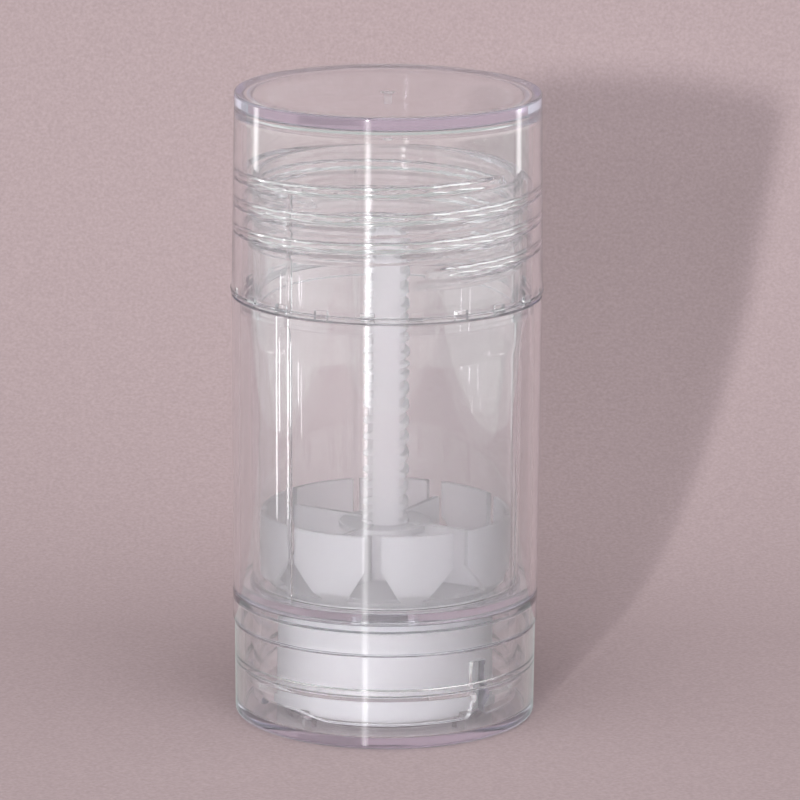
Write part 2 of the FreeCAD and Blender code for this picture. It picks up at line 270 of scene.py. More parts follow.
def withCopies(piece, tree, shape, count, firstAngle, finish, sharpAngle=32):
    # runs the tree on the piece and keeps its result as a plain mesh
    modifier = piece.modifiers.new(tree.name, "NODES")
    modifier.node_group = tree
    values = {"Shape": shape, "Count": count, "First Angle": math.radians(firstAngle),
              "Finish": finish}
    for item in tree.interface.items_tree:
        if item.in_out == "INPUT" and item.name in values:
            modifier[item.identifier] = values[item.name]
    bpy.context.view_layer.update()
    evaluated = piece.evaluated_get(bpy.context.evaluated_depsgraph_get())
    mesh = bpy.data.meshes.new_from_object(evaluated)
    piece.modifiers.remove(modifier)
    old = piece.data
    piece.data = mesh
    mesh.name = piece.name
    bpy.data.meshes.remove(old)
    bpy.data.objects.remove(shape, do_unlink=True)
    smoothShaded(piece, sharpAngle)
    return piece


cutAround = aroundTree("cutAround", "DIFFERENCE")
addAround = aroundTree("addAround", "UNION")


# finishes
def linear(hexColour, alpha=1.0):
    # sRGB hex to the linear colour that the shaders take
    parts = [int(hexColour[i:i + 2], 16) / 255 for i in (1, 3, 5)]
    parts = [p / 12.92 if p <= 0.04045 else ((p + 0.055) / 1.055) ** 2.4 for p in parts]
    return (*parts, alpha)


def blankMaterial(name):
    material = bpy.data.materials.new(name)
    material.use_nodes = True
    material.node_tree.nodes.clear()
    return material, material.node_tree


clearFinish = {
    "tint": "#ffffff",
    "depthTint": "#ede6fb",  # the violet cast of thick clear plastic
    "depthTintPath": 45.0,   # mm of plastic for that tint
    "clearness": 0.975,      # the rest is the haze of fine scuffs
    "ior": 1.57,
    "roughness": 0.015,
    # what each face lets through of a lamp; the round walls bend the rest aside
    "shadowTint": "#cfcfd1",
    # the same for something close behind the wall, where little is bent away
    "nearTint": "#dfdfe1",
    "nearReach": 20.0,       # mm
    "rippleSize": 9.0,       # mm, flow marks of the mould
    "rippleStretch": 4,      # how many times taller than wide they are
    "rippleDetail": 2,
    "rippleDepth": 0.012,    # mm
    "gateRadius": 1.3,       # mm, the broken-off gate under the cap's top is left rough
    "gateFrom": 2.1,         # mm below the cap's top
    "gateTo": 5,
    "gateRoughness": 0.45,
}


def clearPlastic(name):
    # styrene acrylonitrile from a polished mould: glassy, with faint flow marks that bend
    # what is behind them and a violet cast where the plastic is deep
    look = clearFinish
    material, tree = blankMaterial(name)
    place = addNode(tree, "ShaderNodeTexCoord")
    stretch = addNode(tree, "ShaderNodeMapping", links={"Vector": (place, "Object")},
                      values={"Scale": (1, 1, 1 / look["rippleStretch"])})
    ripple = addNode(tree, "ShaderNodeTexNoise", links={"Vector": (stretch, 0)},
                     values={"Scale": 1 / (look["rippleSize"] * mm),
                             "Detail": look["rippleDetail"]})
    bump = addNode(tree, "ShaderNodeBump", links={"Height": (ripple, 0)},
                   values={"Strength": 1, "Distance": look["rippleDepth"] * mm})
    apart = addNode(tree, "ShaderNodeSeparateXYZ", links={0: (place, "Object")})
    level = addNode(tree, "ShaderNodeCombineXYZ", links={"X": (apart, "X"), "Y": (apart, "Y")})
    reach = addNode(tree, "ShaderNodeVectorMath", operation="LENGTH", links={0: (level, 0)})
    atAxis = addNode(tree, "ShaderNodeMath", operation="LESS_THAN", links={0: (reach, "Value")},
                     values={1: look["gateRadius"] * mm})
    below = addNode(tree, "ShaderNodeMath", operation="LESS_THAN", links={0: (apart, "Z")},
                    values={1: (capTop - look["gateFrom"]) * mm})
    above = addNode(tree, "ShaderNodeMath", operation="GREATER_THAN", links={0: (apart, "Z")},
                    values={1: (capTop - look["gateTo"]) * mm})
    column = addNode(tree, "ShaderNodeMath", operation="MULTIPLY",
                     links={0: (below, 0), 1: (above, 0)})
    gate = addNode(tree, "ShaderNodeMath", operation="MULTIPLY",
                   links={0: (column, 0), 1: (atAxis, 0)})
    rough = addNode(tree, "ShaderNodeMapRange", links={"Value": (gate, 0)},
                    values={"To Min": look["roughness"], "To Max": look["gateRoughness"]})
    glass = addNode(tree, "ShaderNodeBsdfPrincipled",
                    links={"Normal": (bump, 0), "Roughness": (rough, 0)},
                    values={"Base Color": linear(look["tint"]), "IOR": look["ior"],
                            "Transmission Weight": look["clearness"]})
    lampPath = addNode(tree, "ShaderNodeLightPath")
    far = addNode(tree, "ShaderNodeMath", operation="GREATER_THAN",
                  links={0: (lampPath, "Ray Length")}, values={1: look["nearReach"] * mm})
    passed = addNode(tree, "ShaderNodeMix", data_type="RGBA", links={0: (far, 0)},
                     values={6: linear(look["nearTint"]), 7: linear(look["shadowTint"])})
    through = addNode(tree, "ShaderNodeBsdfTransparent", links={"Color": (passed, 2)})
    either = addNode(tree, "ShaderNodeMixShader",
                     links={0: (lampPath, "Is Shadow Ray"), 1: (glass, 0), 2: (through, 0)})
    depth = addNode(tree, "ShaderNodeVolumeAbsorption",
                    values={"Color": linear(look["depthTint"]),
                            "Density": 1 / (look["depthTintPath"] * mm)})
    addNode(tree, "ShaderNodeOutputMaterial", links={"Surface": (either, 0), "Volume": (depth, 0)})
    return material


milkyFinish = {
    "colour": "#fbf9fa",     # natural polypropylene
    "ior": 1.49,
    "roughness": 0.5,
    # share of light that passes instead of scattering, below and above the drive plate
    # on the screw the two shares are painted light: the drum below scatters more, so it looks lit
    # where lamps hardly reach it, and the stem above looks dimmer in the key's direct light
    "clearness": {"screw": (0.6, 0.84), "elevator": (0.8, 0.8)},
    "clearFrom": 20.0,       # mm above the foot
    "clearBlend": 1,         # mm from the one share to the other
    "scatter": 4.0,          # mm
    "shadowTint": "#ecebec",
    "grain": 0.35,           # mm, the mould's fine spark texture
    "grainDepth": 0.004,     # mm
}


def milkyPlastic(name, clearness):
    # natural polypropylene: thin walls glow and show shapes behind them, softened
    look = milkyFinish
    material, tree = blankMaterial(name)
    place = addNode(tree, "ShaderNodeTexCoord")
    grain = addNode(tree, "ShaderNodeTexNoise", links={"Vector": (place, "Object")},
                    values={"Scale": 1 / (look["grain"] * mm)})
    bump = addNode(tree, "ShaderNodeBump", links={"Height": (grain, 0)},
                   values={"Distance": look["grainDepth"] * mm})
    apart = addNode(tree, "ShaderNodeSeparateXYZ", links={0: (place, "Object")})
    # on the screw this split by height paints light: a brighter drum and a dimmer stem
    level = addNode(tree, "ShaderNodeMapRange", links={"Value": (apart, "Z")},
                    values={"From Min": look["clearFrom"] * mm,
                            "From Max": (look["clearFrom"] + look["clearBlend"]) * mm,
                            "To Min": clearness[0], "To Max": clearness[1]})
    body = addNode(tree, "ShaderNodeBsdfPrincipled",
                   links={"Normal": (bump, 0), "Transmission Weight": (level, 0)},
                   values={"Base Color": linear(look["colour"]), "IOR": look["ior"],
                           "Roughness": look["roughness"], "Subsurface Weight": 1,
                           "Subsurface Radius": (1, 1, 1),
                           "Subsurface Scale": look["scatter"] * mm})
    lampPath = addNode(tree, "ShaderNodeLightPath")
    through = addNode(tree, "ShaderNodeBsdfTransparent",
                      values={"Color": linear(look["shadowTint"])})
    either = addNode(tree, "ShaderNodeMixShader",
                     links={0: (lampPath, "Is Shadow Ray"), 1: (body, 0), 2: (through, 0)})
    addNode(tree, "ShaderNodeOutputMaterial", links={"Surface": (either, 0)})
    return material


clear = clearPlastic("clearStyreneAcrylonitrilePolishedMould")
# the screw's finish holds painted light: its drum is made brighter and its stem dimmer
screwMilkyPaintedLight = milkyPlastic("naturalPolypropyleneThickMoulding", milkyFinish["clearness"]["screw"])
milky = milkyPlastic("naturalPolypropyleneThinMoulding", milkyFinish["clearness"]["elevator"])
print("finishes ready")


def finished(piece, finish, body, node):
    piece.data.materials.clear()
    piece.data.materials.append(finish)
    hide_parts(node)
    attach(piece, body)


# cap
capSizes = {
    "mouthRadius": 24.95,
    "topRadius": 24.57,
    "beadOut": 25.15,
    "beadHeight": 0.8,
    "beadSlope": 0.2,
    "bore": 23.3,
    "topThickness": 2.3,
    "topEdge": 0.45,
    "innerFillet": 1.9,
    "pipRadius": 0.6,
    "pipFlare": 1.05,
    "pipFlareDrop": 0.5,
    "pipLength": 1.9,
    "notchCount": 20,
    "notchWidth": 2.2,
    "notchHeight": 1.35,
    "notchDepth": 0.75,
    "notchFirstAngle": -79.2,
    "threadRows": 0.15,        # height of one row of faces
    "threadMargin": 2,         # plain wall that is left near the mouth and the ceiling
    "thread": {"firstAngle": -76, "firstHeight": 77.2, "pitch": 4.4, "turns": 3.1, "fade": 0.05,
               "foot": 1.9, "crest": 0.5, "height": 0.85},
}


def makeCap():
    s = capSizes
    ceiling = capTop - s["topThickness"]
    beadTop = capFoot + s["beadHeight"]
    pipFoot = ceiling - s["pipLength"]
    outline = softened([
        (0, capTop, 0), (s["topRadius"], capTop, s["topEdge"]), (s["mouthRadius"], beadTop, fine),
        (s["beadOut"], beadTop - s["beadSlope"], crisp), (s["beadOut"], capFoot, full),
        (s["bore"], capFoot, fine), (s["bore"], ceiling, s["innerFillet"]),
        (s["pipFlare"], ceiling, crisp), (s["pipRadius"], ceiling - s["pipFlareDrop"], small),
        (s["pipRadius"], pipFoot, fine), (0, pipFoot, 0)], steps=6)
    thread = s["thread"]
    margin = s["threadMargin"]
    low = thread["firstHeight"] - margin
    high = thread["firstHeight"] + thread["pitch"] * thread["turns"] + margin

    def relief(radii, levels, angles):
        threaded = onWall(radii, s["bore"]) & (levels > low) & (levels < high)
        rise = threadRise(angles, levels, thread)
        return radii - threaded * thread["height"] * rise, levels
    outline = divided(
        outline, lambda r, z: onWall(r, s["bore"]) and capFoot + margin < z < ceiling - margin,
        s["threadRows"])
    cap = revolved("screwCap", outline, evenAngles(roundColumns), relief)
    notch = prism("notch", bar(s["notchWidth"], capFoot - overcut, capFoot + s["notchHeight"]),
                  s["bore"] - overcut, s["bore"] + s["notchDepth"])
    return withCopies(cap, cutAround, notch, s["notchCount"], s["notchFirstAngle"], clear)


cap = makeCap()
finished(cap, clear, "cap", "cap")
print("cap ready", len(cap.data.polygons))

# outer shell
shellSizes = {
    "topRadius": 24.97,
    "footRadius": 24.72,
    "bore": 23.6,
    "edge": 0.18,
    "seatGap": 0.04,           # above the barrel's band, so that no two clear faces coincide
    "rows": 4.0,
    "plainEnd": 1,             # of each end that isn't cut into rows
}


def makeShell():
    s = shellSizes
    foot = shellFoot + s["seatGap"]
    low, high = shellFoot + s["plainEnd"], shellTop - s["plainEnd"]
    outline = softened([
        (s["bore"], foot, crisp), (s["footRadius"], foot, s["edge"]),
        (s["topRadius"], shellTop, s["edge"]), (s["bore"], shellTop, crisp)])
    outline = divided(outline, lambda r, z: low < z < high, s["rows"])
    return revolved("outerShell", outline, evenAngles(roundColumns))


shell = makeShell()
finished(shell, clear, "barrel", "outer_sleeve")
print("shell ready", len(shell.data.polygons))

# barrel
barrelSizes = {
    "journalBore": 3.83,
    "floorTop": 1.0,           # above the shell's foot
    "floorDrop": 0.3,
    "chamber": 20.5,
    "neck": 21.65,
    "lipEdge": 0.45,
    "neckFillet": 0.35,
    "spigot": 23.55,
    "spigotEdge": 0.25,
    "seatFillet": 0.05,
    "shoulder": 2.0,
    "shoulderEdge": 0.12,
    "tube": 21.9,
    "flareWidth": 0.8,
    "flareHeight": 5.0,
    "flareRound": 12.0,
    "tubeDraft": 0.4,
    "spigotHeight": 1.8,
    "band": 24.75,
    "bandHeight": 4.95,
    "bandWall": 1.3,
    "bandEdge": 0.18,
    "web": 1.4,
    "webFillet": 0.35,
    "skirt": 21.4,
    "skirtBore": 20.2,
    "skirtFillet": 0.5,
    "skirtStep": 0.2,
    "skirtStepHeight": 11.8,
    "skirtStepEdge": 0.08,
    "bead": 22.45,
    "beadEdge": 0.25,
    "beadLevels": (4.7, 6.6, 7.5, 8.0),
    "slotCount": 2,
    "slotWidth": 2.6,
    "slotTop": 12.6,
    "slotMouth": 1.3,
    "slotAngle": -47,
    "reliefCount": 2,
    "reliefDepth": 1.15,
    "reliefFlat": 9.0,
    "reliefRamp": 5.2,
    "reliefInward": 1.5,
    "reliefAngle": -142,
    "keyCount": 3,
    "keyWidth": 0.7,
    "keyDepth": 0.4,
    "keySpread": 1.3,          # how far its soft sides reach, in half widths
    "keyColumns": 9,
    "keyAngle": 104.7,
    "keyFootGap": 0.3,
    "keyTopGap": 3.0,
    "chamberRows": 3.0,
    "threadRows": 0.15,
    "threadFootGap": 0.5,
    "thread": {"firstAngle": -82, "firstHeight": 74.9, "pitch": 4.4, "turns": 2.9, "fade": 0.06,
               "foot": 1.9, "crest": 0.5, "height": 0.75},
}


def slotOutline(width, top, foot, mouth, steps=5):
    # upright slot whose mouth flares in two quarter arcs
    half = width / 2
    bends = [math.radians(90 * i / steps) for i in range(steps + 1)]
    right = [(half + mouth * (1 - math.cos(b)), foot + mouth * (1 - math.sin(b))) for b in bends]
    below = foot - overcut
    outline = [(-half, top), (half, top)] + right + [(half + mouth, below), (-half - mouth, below)]
    return outline + [(-t, z) for t, z in reversed(right)]


def makeBarrel():
    s = barrelSizes
    floorBottom = shellFoot - s["floorDrop"]
    floorTop = shellFoot + s["floorTop"]
    webBottom = shellFoot - s["web"]
    bandFoot = shellFoot - s["bandHeight"]
    bandBore = s["band"] - s["bandWall"]
    shoulderFoot = shellTop - s["shoulder"]
    upperSpigot = shellFoot + s["spigotHeight"]
    upperSkirt = s["skirt"] + s["skirtStep"]
    beadFoot, crestLow, crestHigh, beadTop = s["beadLevels"]
    outline = softened([
        (s["journalBore"], floorBottom, crisp), (s["journalBore"], floorTop, crisp),
        (s["chamber"], floorTop, full), (s["chamber"], neckTop, s["lipEdge"]),
        (s["neck"], neckTop, s["lipEdge"]), (s["neck"], shellTop, s["neckFillet"]),
        (s["spigot"], shellTop, s["shoulderEdge"]), (s["spigot"], shoulderFoot, fine),
        (s["tube"] + s["flareWidth"], shoulderFoot, eased),
        (s["tube"], shoulderFoot - s["flareHeight"], s["flareRound"]),
        (s["tube"] - s["tubeDraft"], upperSpigot, full),
        (s["spigot"], upperSpigot, s["spigotEdge"]), (s["spigot"], shellFoot, s["seatFillet"]),
        (s["band"], shellFoot, s["bandEdge"]), (s["band"], bandFoot, small),
        (bandBore, bandFoot, fine), (bandBore, webBottom, s["webFillet"]),
        (upperSkirt, webBottom, s["webFillet"]),
        (upperSkirt, s["skirtStepHeight"], s["skirtStepEdge"]),
        (s["skirt"], s["skirtStepHeight"], s["skirtStepEdge"]),
        (s["skirt"], beadTop, fine), (s["bead"], crestHigh, s["beadEdge"]),
        (s["bead"], crestLow, eased), (s["skirt"], beadFoot, eased),
        (s["skirt"], skirtFoot, small), (s["skirtBore"], skirtFoot, small),
        (s["skirtBore"], floorBottom, s["skirtFillet"])])
    thread = s["thread"]
    outline = divided(outline, lambda r, z: onWall(r, s["neck"]) and z > shellTop,
                      s["threadRows"])
    outline = divided(outline, lambda r, z: onWall(r, s["chamber"]) and z > floorTop,
                      s["chamberRows"])
    keyHalf = math.degrees(s["keyWidth"] / 2 / s["chamber"])
    keyMiddles = spreadRound(s["keyAngle"], s["keyCount"])
    spread = s["keySpread"]
    keyColumns = [middle + k * keyHalf for middle in keyMiddles
                  for k in np.linspace(-spread, spread, s["keyColumns"])]

    def relief(radii, levels, angles):
        onNeck = onWall(radii, s["neck"]) & (levels > shellTop + s["threadFootGap"])
        radii = radii + onNeck * thread["height"] * threadRise(angles, levels, thread)
        onBore = onWall(radii, s["chamber"]) & (levels > floorTop + s["keyFootGap"])
        onBore &= levels < neckTop - s["keyTopGap"]
        for middle in keyMiddles:
            away = np.clip(degreesFrom(angles, middle) / keyHalf / spread, 0, 1)
            radii = radii - onBore * s["keyDepth"] * np.cos(away * math.pi / 2) ** 2
        return radii, levels
    barrel = revolved("threadedBarrel", outline, evenAngles(roundColumns, keyColumns), relief)
    near, far = s["skirtBore"] - overcut, s["bead"] + overcut
    slot = prism("slot", slotOutline(s["slotWidth"], s["slotTop"], skirtFoot, s["slotMouth"]),
                 near, far)
    barrel = withCopies(barrel, cutAround, slot, s["slotCount"], s["slotAngle"], clear)
    half = s["reliefFlat"] / 2
    ramp = half + s["reliefRamp"]
    reliefTop = skirtFoot + s["reliefDepth"]
    below = skirtFoot - overcut
    shallow = prism("relief", [(-half, below), (-half, reliefTop), (half, reliefTop),
                               (ramp, skirtFoot), (ramp, below)],
                    near - s["reliefInward"], far)
    return withCopies(barrel, cutAround, shallow, s["reliefCount"], s["reliefAngle"], clear)


barrel = makeBarrel()
finished(barrel, clear, "barrel", "barrel")
print("barrel ready", len(barrel.data.polygons))

# base knob
knobSizes = {
    "foot": 24.3,
    "rim": 24.42,
    "rimEdge": 0.22,
    "bore": 22.85,
    "floor": 1.6,
    "floorFillet": 0.5,
    "footEdge": 0.6,
    "catchDepth": 0.75,
    "catchLow": 8.35,
    "catchHeight": 1.3,
    "collar": 16.25,
    "collarWall": 1.2,
    "collarHeight": 4.2,
    "collarRows": 0.4,
    "lugCount": 4,
    "lugWidth": 2.0,
    "lugHeight": 2.6,
    "lugReach": 17.4,
    "lugSide": 0.05,           # half of its sloping side, in half widths
    "lugAngle": 45,
}


def makeKnob():
    s = knobSizes
    catchTop = s["catchLow"] + s["catchHeight"]
    catchRadius = s["bore"] - s["catchDepth"]
    slope = s["catchDepth"] / 2
    collarTop = s["floor"] + s["collarHeight"]
    collarBore = s["collar"] - s["collarWall"]
    outline = softened([
        (0, knobFoot, 0), (s["foot"], knobFoot, s["footEdge"]),
        (s["rim"], knobTop, s["rimEdge"]), (s["bore"], knobTop, small),
        (s["bore"], catchTop, crisp), (catchRadius, catchTop - slope, fine),
        (catchRadius, s["catchLow"] + slope / 2, fine), (s["bore"], s["catchLow"], crisp),
        (s["bore"], s["floor"], s["floorFillet"]), (s["collar"], s["floor"], small),
        (s["collar"], collarTop, eased), (collarBore, collarTop, small),
        (collarBore, s["floor"], eased), (0, s["floor"], 0)])
    outline = divided(outline, lambda r, z: onWall(r, s["collar"]), s["collarRows"])
    lugHalf = math.degrees(s["lugWidth"] / 2 / s["collar"])
    middles = spreadRound(s["lugAngle"], s["lugCount"])
    inner, outer = 1 - s["lugSide"], 1 + s["lugSide"]
    columns = [middle + k * lugHalf for middle in middles for k in (-outer, -inner, inner, outer)]

    def relief(radii, levels, angles):
        onCollar = onWall(radii, s["collar"]) & (levels < s["floor"] + s["lugHeight"])
        for middle in middles:
            away = degreesFrom(angles, middle) / lugHalf
            side = np.clip((outer - away) / (2 * s["lugSide"]), 0, 1)
            reach = (s["lugReach"] - s["collar"]) * side
            radii = radii + onCollar * reach
        return radii, levels
    return revolved("baseKnob", outline, evenAngles(roundColumns, columns), relief)


knob = makeKnob()
finished(knob, clear, "knob", "base_knob")
print("knob ready", len(knob.data.polygons))

# drive screw
screwSizes = {
    "stem": 2.95,
    "crest": 3.68,
    "lead": 5.4,
    "starts": 2,
    "ridgeFoot": 1.45,
    "ridgeCrest": 0.75,
    "firstRidge": 24.3,
    "lastRidgeGap": 1.2,
    "ridgeFootGap": 0.05,      # plain stem above the journal
    "ridgeRows": 0.1,
    "columns": 120,
    "sharpAngle": 25,
    "flat": 2.1,
    "tipEdge": 0.5,
    "journal": 3.75,
    "journalTop": 21.7,
    "drum": 17.5,
    "drumWall": 1.2,
    "drumTop": 19.85,
    "drumEdge": 0.25,
    "plate": 1.3,
    "notchCount": 4,
    "notchWidth": 2.3,
    "notchTop": 4.35,
    "notchAngle": 45,
}


def ridgeOffset(levels, angles):
    # height between each spot and the middle of the nearest ridge of the screw
    s = screwSizes
    pitch = s["lead"] / s["starts"]
    turn = angles / (2 * math.pi) * s["lead"]
    return np.abs((levels - s["firstRidge"] - turn + pitch / 2) % pitch - pitch / 2)


def makeScrew():
    s = screwSizes
    bore = s["drum"] - s["drumWall"]
    plateFoot = s["drumTop"] - s["plate"]
    outline = softened([
        (0, stemTop, 0), (s["stem"], stemTop, s["tipEdge"]), (s["stem"], s["journalTop"], crisp),
        (s["journal"], s["journalTop"], crisp), (s["journal"], s["drumTop"], crisp),
        (s["drum"], s["drumTop"], full), (s["drum"], drumFoot, s["drumEdge"]),
        (bore, drumFoot, s["drumEdge"]), (bore, plateFoot, full), (0, plateFoot, 0)], steps=3)
    outline = divided(outline, lambda r, z: onWall(r, s["stem"]) and z > s["journalTop"],
                      s["ridgeRows"])
    # columns on the edges of the flats, at the stem and at the crests
    flatEdges = [math.degrees(math.asin(s["flat"] / r)) for r in (s["crest"] - rowReach, s["stem"])]
    columns = [half + side * edge for edge in flatEdges for half in (0, 180) for side in (-1, 1)]
    ridgesFrom = s["firstRidge"] - s["lead"] / s["starts"]
    ridgesTo = stemTop - s["lastRidgeGap"]

    def relief(radii, levels, angles):
        onStem = (radii > rowReach) & (radii < s["stem"] + rowReach)
        onStem &= levels > s["journalTop"] + s["ridgeFootGap"]
        flank = (s["ridgeFoot"] - s["ridgeCrest"]) / 2
        rise = np.clip((s["ridgeFoot"] / 2 - ridgeOffset(levels, angles)) / flank, 0, 1)
        rise *= (levels < ridgesTo) & (levels > ridgesFrom)
        ridged = radii + (radii > s["stem"] - rowReach) * (s["crest"] - s["stem"]) * rise
        flatAt = s["flat"] / np.maximum(np.abs(np.sin(angles)), 1e-6)
        return np.where(onStem, np.minimum(ridged, flatAt), radii), levels
    screw = revolved("driveScrew", outline, evenAngles(s["columns"], columns), relief,
                     s["sharpAngle"])
    notch = prism("notch", bar(s["notchWidth"], drumFoot - overcut, s["notchTop"]),
                  bore - overcut, s["drum"] + overcut)
    return withCopies(screw, cutAround, notch, s["notchCount"], s["notchAngle"], screwMilkyPaintedLight,
                      s["sharpAngle"])


screw = makeScrew()
finished(screw, screwMilkyPaintedLight, "knob", "drive_screw")
print("screw ready", len(screw.data.polygons))

# elevator
elevatorSizes = {
    "rim": 20.3,
    "rimFillet": 0.8,
    "petalWall": 0.9,
    "petalFillet": 0.6,
    "petalStep": 0.4,          # above the taper, where the wall begins inside
    "base": 18.2,
    "baseInset": 0.8,
    "baseThickness": 1.2,
    "taper": 2.3,
    "setCount": 3,
    "keyAngle": 104.7,
    "gapPitch": 40,
    # width at the rim, widening each side at the foot
    "gaps": ((1.3, 4.6), (2.7, 4.7), (2.6, 3.0)),
    "bendDrop": 5.8,
    "flareFoot": 1.2,
    "webCount": 4,
    "webAngle": 60,
    "webWall": 0.9,
    "webReach": 17.3,
    "webDrop": 1.9,
    "webSink": 0.5,            # into the base and the hub
    "hub": 5.2,
    "flange": 7.5,
    "flangeThickness": 0.9,
    "hubDrop": 2.2,
    "bore": 3.1,
    "groove": 3.85,
    "grooveWidth": 1.85,
    "grooveFlank": 0.35,
    "nutLength": 5.9,
    "nutRows": 0.2,
    "columns": 192,
    "sharpAngle": 28,
}


def flaredGap(width, flare, top, bend, foot):
    half = width / 2
    return [(-half, top), (-half, bend), (-half - flare, foot),
            (half + flare, foot), (half, bend), (half, top)]


def makeElevator():
    s = elevatorSizes
    baseTop = elevatorFoot + s["baseThickness"]
    taperTop = elevatorFoot + s["taper"]
    inner = s["rim"] - s["petalWall"]
    hubTop = elevatorTop - s["hubDrop"]
    flangeFoot = hubTop - s["flangeThickness"]
    nutTop = elevatorFoot + s["nutLength"]
    outline = softened([
        (s["bore"], elevatorFoot, 0), (s["base"], elevatorFoot, eased),
        (s["rim"], taperTop, s["rimFillet"]), (s["rim"], elevatorTop, small),
        (inner, elevatorTop, small), (inner, taperTop + s["petalStep"], s["petalFillet"]),
        (s["base"] - s["baseInset"], baseTop, full), (s["hub"], baseTop, full),
        (s["hub"], flangeFoot, eased), (s["flange"], flangeFoot, fine),
        (s["flange"], hubTop, fine), (s["groove"], hubTop, crisp),
        (s["groove"], nutTop, 0), (s["bore"], nutTop, 0)], steps=3)
    outline = divided(outline, lambda r, z: onWall(r, s["bore"]), s["nutRows"])

    def relief(radii, levels, angles):
        # the ring just outside the bore stays round at the nut's foot and top, so a thin
        # film lies across each groove's mouth there and the screw's ridges pass through it
        onBore = onWall(radii, s["bore"]) & (levels < nutTop + rowReach)
        within = s["grooveWidth"] / 2 - ridgeOffset(levels, angles)
        rise = np.clip(within / s["grooveFlank"], 0, 1)
        return radii + onBore * (s["groove"] - s["bore"]) * rise, levels
    lift = revolved("petalElevator", outline, evenAngles(s["columns"]), relief, s["sharpAngle"])
    bend = elevatorTop - s["bendDrop"]
    foot = elevatorFoot + s["flareFoot"]
    for i, (width, flare) in enumerate(s["gaps"]):
        gap = prism("gap", flaredGap(width, flare, elevatorTop + overcut, bend, foot),
                    s["webReach"], s["rim"] + overcut)
        withCopies(lift, cutAround, gap, s["setCount"], s["keyAngle"] - i * s["gapPitch"], milky,
                   s["sharpAngle"])
    web = prism("web", bar(s["webWall"], baseTop - s["webSink"], elevatorTop - s["webDrop"]),
                s["hub"] - s["webSink"], s["webReach"])
    return withCopies(lift, addAround, web, s["webCount"], s["webAngle"], milky, s["sharpAngle"])


elevator = makeElevator()
finished(elevator, milky, "elevator", "elevator")
print("elevator ready", len(elevator.data.polygons))

# stage
stageLook = {
    "paperColour": "#a69597",
    "paperGrain": 0.6,          # mm
    "paperMottle": 0.2,         # how far the grain goes darker and lighter
    "paperRoughness": 0.9,
    "paperSheen": 0.1,
    "sweepStart": 50,           # mm behind the middle, where the paper begins to rise
    "sweepRadius": 160,
    "sweepSteps": 24,
    "paperHeight": 330,
    "paperWidth": 460,
    "paperFront": 260,
    "footGap": 0.2,             # mm of air under the knob, so its floor gleams like a mirror
    "worldColour": "#f8fffc",
    "worldLight": 0.04,         # what falls on the object
    "worldSeen": 0.52,          # what its clear walls show of the studio
}


def makePaper():
    # lies flat under the object and sweeps up behind it
    look = stageLook
    radius, steps = look["sweepRadius"], look["sweepSteps"]
    profile = [(-look["paperFront"], 0), (look["sweepStart"], 0)]
    for k in range(1, steps + 1):
        bend = math.radians(90 * k / steps)
        profile.append((look["sweepStart"] + radius * math.sin(bend),
                        radius * (1 - math.cos(bend))))
    profile.append((look["sweepStart"] + radius, look["paperHeight"]))
    # unglazed paper with a faint grain; only its upper side is there, so that the object
    # shows from behind and from below too
    material, tree = blankMaterial("mattSugarPaper")
    place = addNode(tree, "ShaderNodeTexCoord")
    grain = addNode(tree, "ShaderNodeTexNoise", links={"Vector": (place, "Object")},
                    values={"Scale": 1 / (look["paperGrain"] * mm)})
    base = linear(look["paperColour"])[:3]
    dark, light = [(*[c * tone for c in base], 1)
                   for tone in (1 - look["paperMottle"], 1 + look["paperMottle"])]
    tone = addNode(tree, "ShaderNodeMix", data_type="RGBA", blend_type="MIX",
                   links={0: (grain, 0)}, values={6: dark, 7: light})
    matt = addNode(tree, "ShaderNodeBsdfPrincipled", links={"Base Color": (tone, 2)},
                   values={"Roughness": look["paperRoughness"],
                           "Specular IOR Level": look["paperSheen"]})
    side = addNode(tree, "ShaderNodeNewGeometry")
    nothing = addNode(tree, "ShaderNodeBsdfTransparent")
    upper = addNode(tree, "ShaderNodeMixShader",
                    links={0: (side, "Backfacing"), 1: (matt, 0), 2: (nothing, 0)})
    addNode(tree, "ShaderNodeOutputMaterial", links={"Surface": (upper, 0)})
    half = look["paperWidth"] / 2
    for name, part in (("paperFloor", profile[:2]), ("paperSweep", profile[1:])):
        vertices = [(end * half * mm, y * mm, (z - look["footGap"]) * mm)
                    for y, z in part for end in (-1, 1)]
        faces = [(2 * i, 2 * i + 1, 2 * i + 3, 2 * i + 2) for i in range(len(part) - 1)]
        mesh = bpy.data.meshes.new(name)
        mesh.from_pydata(vertices, [], faces)
        mesh.shade_smooth()
        mesh.materials.append(material)
        paper = bpy.data.objects.new(name, mesh)
        bpy.context.scene.collection.objects.link(paper)
        # upright walls mirror the studio, not the table
        paper.visible_glossy = name == "paperSweep"


def makeWorld():
    world = bpy.data.worlds.new("studio")
    bpy.context.scene.world = world
    world.use_nodes = True
    tree = world.node_tree
    tree.nodes.clear()
    path = addNode(tree, "ShaderNodeLightPath")
    throughGlass = addNode(tree, "ShaderNodeMath", operation="ADD",
                           links={0: (path, "Is Glossy Ray"), 1: (path, "Is Transmission Ray")})
    seen = addNode(tree, "ShaderNodeMath", operation="ADD", use_clamp=True,
                   links={0: (throughGlass, 0), 1: (path, "Is Camera Ray")})
    level = addNode(tree, "ShaderNodeMapRange", links={"Value": (seen, 0)},
                    values={"To Min": stageLook["worldLight"], "To Max": stageLook["worldSeen"]})
    glow = addNode(tree, "ShaderNodeBackground", links={"Strength": (level, 0)},
                   values={"Color": linear(stageLook["worldColour"])})
    addNode(tree, "ShaderNodeOutputWorld", links={"Surface": (glow, 0)})


